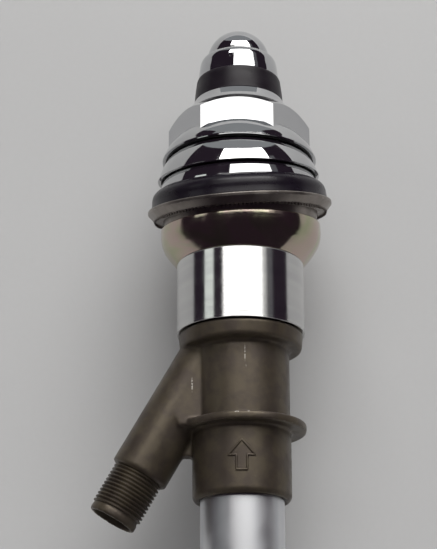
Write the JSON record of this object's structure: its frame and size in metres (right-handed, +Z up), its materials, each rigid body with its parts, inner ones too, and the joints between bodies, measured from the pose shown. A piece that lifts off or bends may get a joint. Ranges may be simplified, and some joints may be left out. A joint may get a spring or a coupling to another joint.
{
  "type": "retractable car aerial",
  "caption": "Retracted telescopic car aerial: chrome ball-seat wing head, cast Y housing with a threaded lead branch, and a plain lower tube.",
  "frame": {"origin": "centre of the panel seat, where the rubber gasket meets the body panel; also the centre of the ball joint", "axes": "+Z up along the mast axis towards the tip; the lead branch points to -X and down; the seat leans 13 degrees towards -Y"},
  "size_m": [0.047, 0.036, 0.2706],
  "materials": {
    "chrome": "polished",
    "black_rubber": "matte",
    "bright_zinc": "satin",
    "zinc_chromate": "iridescent",
    "black_nylon": "matte",
    "black_insulator": "satin",
    "felt": "matte",
    "plated_steel": "satin",
    "turned_aluminium": "turned",
    "bronzed_casting": "satin bronze plate",
    "cream_insulator": "matte",
    "brass": "turned",
    "satin_tube": "satin",
    "mast_nickel": "polished"
  },
  "bodies": {
    "seat": {"escutcheon_ring": "chrome", "panel_gasket": "black_rubber", "claw_plate": "bright_zinc"},
    "ball_shells": {"dome_washer": "chrome", "dome_glide_liner": "black_nylon", "seat_cup": "zinc_chromate"},
    "mast_base": {"dome_nut": "chrome", "nut_glide_ring": "black_nylon", "head_insulator": "black_insulator", "head_ferrule": "chrome", "mast_wiper": "felt", "threaded_neck": "plated_steel", "spacer_sleeve": "turned_aluminium", "neck_bush": "black_nylon", "y_housing": "bronzed_casting", "lead_insulator": "cream_insulator", "lead_pin": "brass", "mast_contact_ring": "brass", "tube_set_screw": "plated_steel", "lower_tube": "satin_tube", "tube_liner": "cream_insulator", "foot_buffer": "black_rubber", "tube_end_plug": "black_insulator"},
    "section_1": {"mast_section_1": "mast_nickel", "mast_foot_1": "brass"},
    "section_2": {"mast_section_2": "mast_nickel", "mast_foot_2": "brass"},
    "section_3": {"mast_section_3": "mast_nickel", "mast_foot_3": "brass"},
    "section_4": {"mast_section_4": "mast_nickel", "mast_foot_4": "brass"},
    "section_5": {"mast_section_5": "mast_nickel", "mast_foot_5": "brass", "mast_tip": "chrome"}
  },
  "joints": [
    {"name": "mast_lean", "type": "hinge", "parent": "seat", "child": "mast_base", "pos_m": [0, 0, 0], "axis": [0.9681, -0.2504, 0], "range_deg": [0, 26]},
    {"name": "shell_lean", "type": "hinge", "parent": "seat", "child": "ball_shells", "pos_m": [0, 0, 0], "axis": [0.9681, -0.2504, 0], "range_deg": [0, 10.4]},
    {"name": "slide_1", "type": "slide", "parent": "mast_base", "child": "section_1", "axis": [0, 0, 1], "range_m": [0, 0.155]},
    {"name": "slide_2", "type": "slide", "parent": "section_1", "child": "section_2", "axis": [0, 0, 1], "range_m": [0, 0.185]},
    {"name": "slide_3", "type": "slide", "parent": "section_2", "child": "section_3", "axis": [0, 0, 1], "range_m": [0, 0.185]},
    {"name": "slide_4", "type": "slide", "parent": "section_3", "child": "section_4", "axis": [0, 0, 1], "range_m": [0, 0.185]},
    {"name": "slide_5", "type": "slide", "parent": "section_4", "child": "section_5", "axis": [0, 0, 1], "range_m": [0, 0.185]}
  ],
  "couplings": [
    {"joint": "shell_lean", "follows": "mast_lean", "ratio": 0.4}
  ]
}
